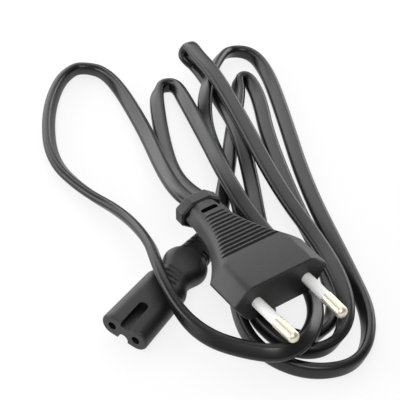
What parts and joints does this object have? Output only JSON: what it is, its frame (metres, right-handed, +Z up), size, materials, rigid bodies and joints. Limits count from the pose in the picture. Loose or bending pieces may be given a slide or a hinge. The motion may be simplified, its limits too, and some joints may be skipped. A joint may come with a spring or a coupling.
{
  "type": "mains power cord",
  "caption": "Mains lead with a flat plug at one end and a figure-eight appliance connector at the other, on a flat flex that lies gathered in long folds.",
  "frame": {"origin": "on the surface it lies on, under the middle of the box round the plug and the connector", "axes": "+Z up from that surface; +Y away from the viewer towards the far folds; +X to the viewer's right"},
  "size_m": [0.1113, 0.1694, 0.0224],
  "materials": {
    "black_pvc": "satin",
    "flex_jacket": "satin",
    "black_hard": "satin",
    "white_nylon": "matte",
    "white_sleeve": "satin",
    "nickel": "polished",
    "bronze": "satin",
    "copper": "satin",
    "brown_core": "satin",
    "blue_core": "satin"
  },
  "bodies": {
    "root": {"connector_grip": "black_pvc", "connector_left_copper": "copper", "connector_left_core": "blue_core", "connector_nose": "black_hard", "connector_right_copper": "copper", "connector_right_core": "brown_core", "cord": "flex_jacket", "left_contact": "bronze", "left_pin": "nickel", "left_pin_sleeve": "white_sleeve", "pin_bridge": "white_nylon", "plug_body": "black_pvc", "plug_left_copper": "copper", "plug_left_core": "blue_core", "plug_right_copper": "copper", "plug_right_core": "brown_core", "right_contact": "bronze", "right_pin": "nickel", "right_pin_sleeve": "white_sleeve"}
  },
  "joints": []
}
